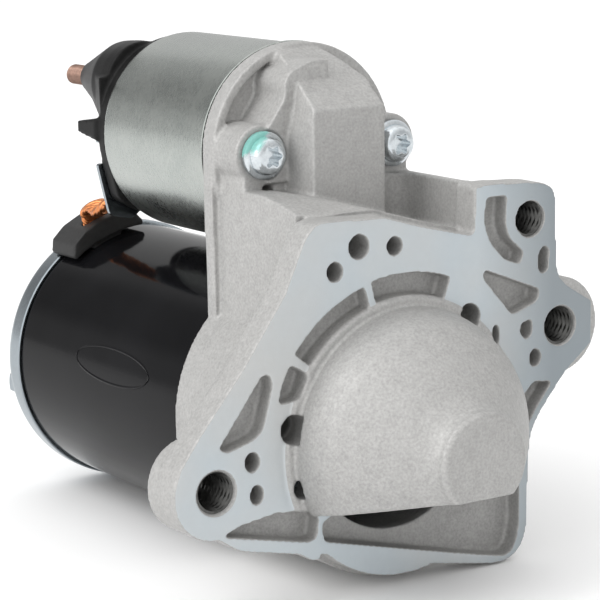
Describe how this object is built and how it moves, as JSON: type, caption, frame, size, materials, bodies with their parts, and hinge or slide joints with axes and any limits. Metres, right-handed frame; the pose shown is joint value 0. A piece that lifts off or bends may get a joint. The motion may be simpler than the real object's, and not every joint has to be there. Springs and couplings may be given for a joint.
{
  "type": "starter motor",
  "caption": "Car starter motor with cast drive housing, domed nose, black motor body, solenoid on top, terminal cap and copper motor lead.",
  "frame": {"origin": "on the motor axis, in the plane of the mounting flange's machined face", "axes": "+Y runs back along the motor axis from the flange to the rear cover, +Z points from the motor axis to the solenoid axis, +X completes the right-handed set"},
  "size_m": [0.1257, 0.1759, 0.1297],
  "materials": {
    "cast_aluminium": "die cast, matt, machined on the mounting face",
    "black_paint": "gloss black paint",
    "zinc_plate": "zinc plated, satin",
    "steel": "bright turned steel",
    "dark_steel": "dark oiled steel",
    "copper": "bare copper",
    "sintered_bronze": "sintered bronze",
    "black_rubber": "moulded rubber, matt",
    "black_plastic": "glass-filled moulding, matt",
    "carbon": "pressed carbon and copper",
    "ferrite": "sintered ferrite, matt"
  },
  "bodies": {
    "stator": {"drive_housing": "cast_aluminium", "front_bush": "sintered_bronze", "support_plate": "steel", "support_bush": "sintered_bronze", "ring_gear": "dark_steel", "centre_plate": "zinc_plate", "lever_pin": "steel", "yoke": "black_paint", "magnet_1": "ferrite", "magnet_2": "ferrite", "magnet_3": "ferrite", "magnet_4": "ferrite", "rear_cover": "zinc_plate", "rear_bush": "sintered_bronze", "brush_plate": "black_plastic", "brush_1": "carbon", "brush_spring_1": "steel", "brush_2": "carbon", "brush_spring_2": "steel", "brush_3": "carbon", "brush_spring_3": "steel", "brush_4": "carbon", "brush_spring_4": "steel", "through_bolt_1": "zinc_plate", "through_bolt_2": "zinc_plate", "solenoid_can": "zinc_plate", "solenoid_core": "steel", "solenoid_bobbin": "black_plastic", "solenoid_coil": "copper", "solenoid_cap": "black_plastic", "battery_stud": "copper", "motor_terminal_bolt": "copper", "motor_terminal_plate": "zinc_plate", "spade_terminal": "zinc_plate", "return_spring": "steel", "solenoid_screw_left": "zinc_plate", "solenoid_screw_right": "zinc_plate", "motor_lead": "copper", "lead_grommet": "black_rubber"},
    "armature": {"armature_shaft": "steel", "armature_core": "dark_steel", "armature_windings": "copper", "commutator": "copper"},
    "output": {"output_shaft": "steel", "stop_ring": "dark_steel", "planet_pin_1": "steel", "planet_pin_2": "steel", "planet_pin_3": "steel"},
    "planet_1": {"planet_gear_1": "dark_steel"},
    "planet_2": {"planet_gear_2": "dark_steel"},
    "planet_3": {"planet_gear_3": "dark_steel"},
    "drive": {"clutch_drum": "steel", "fork_collar": "black_plastic"},
    "pinion": {"drive_pinion": "dark_steel"},
    "lever": {"shift_lever": "dark_steel"},
    "plunger_body": {"plunger": "steel"},
    "contact": {"contact_disc": "copper", "contact_rod": "steel"}
  },
  "joints": [
    {"name": "armature_spin", "type": "hinge", "parent": "stator", "child": "armature", "pos_m": [0, 0.08, 0], "axis": [0, 1, 0], "continuous": true},
    {"name": "output_spin", "type": "hinge", "parent": "stator", "child": "output", "pos_m": [0, 0.02, 0], "axis": [0, 1, 0], "continuous": true},
    {"name": "planet_1_spin", "type": "hinge", "parent": "output", "child": "planet_1", "pos_m": [0, 0.0503, 0.015], "axis": [0, 1, 0], "continuous": true},
    {"name": "planet_2_spin", "type": "hinge", "parent": "output", "child": "planet_2", "pos_m": [-0.01299, 0.0503, -0.0075], "axis": [0, 1, 0], "continuous": true},
    {"name": "planet_3_spin", "type": "hinge", "parent": "output", "child": "planet_3", "pos_m": [0.01299, 0.0503, -0.0075], "axis": [0, 1, 0], "continuous": true},
    {"name": "plunger_pull", "type": "slide", "parent": "stator", "child": "plunger_body", "axis": [0, 1, 0], "range_m": [0, 0.01], "stiffness_N_per_m": 1200, "springref_m": -0.008, "deforming": ["return_spring"]},
    {"name": "lever_swing", "type": "hinge", "parent": "stator", "child": "lever", "pos_m": [0, 0.033, 0.0373], "axis": [-1, 0, 0], "range_deg": [0, 18.2]},
    {"name": "drive_slide", "type": "slide", "parent": "output", "child": "drive", "axis": [0, -1, 0], "range_m": [0, 0.0118]},
    {"name": "pinion_overrun", "type": "hinge", "parent": "drive", "child": "pinion", "pos_m": [0, 0.009, 0], "axis": [0, 1, 0], "continuous": true},
    {"name": "contact_slide", "type": "slide", "parent": "stator", "child": "contact", "axis": [0, 1, 0], "range_m": [0, 0.0021]}
  ],
  "couplings": [
    {"joint": "output_spin", "follows": "armature_spin", "ratio": 0.2},
    {"joint": "planet_1_spin", "follows": "armature_spin", "ratio": -0.53333},
    {"joint": "planet_2_spin", "follows": "armature_spin", "ratio": -0.53333},
    {"joint": "planet_3_spin", "follows": "armature_spin", "ratio": -0.53333},
    {"joint": "lever_swing", "follows": "plunger_pull", "rad_per_m": 31.68},
    {"joint": "drive_slide", "follows": "plunger_pull", "ratio": 1.17},
    {"joint": "contact_slide", "follows": "plunger_pull", "ratio": 0.2}
  ]
}
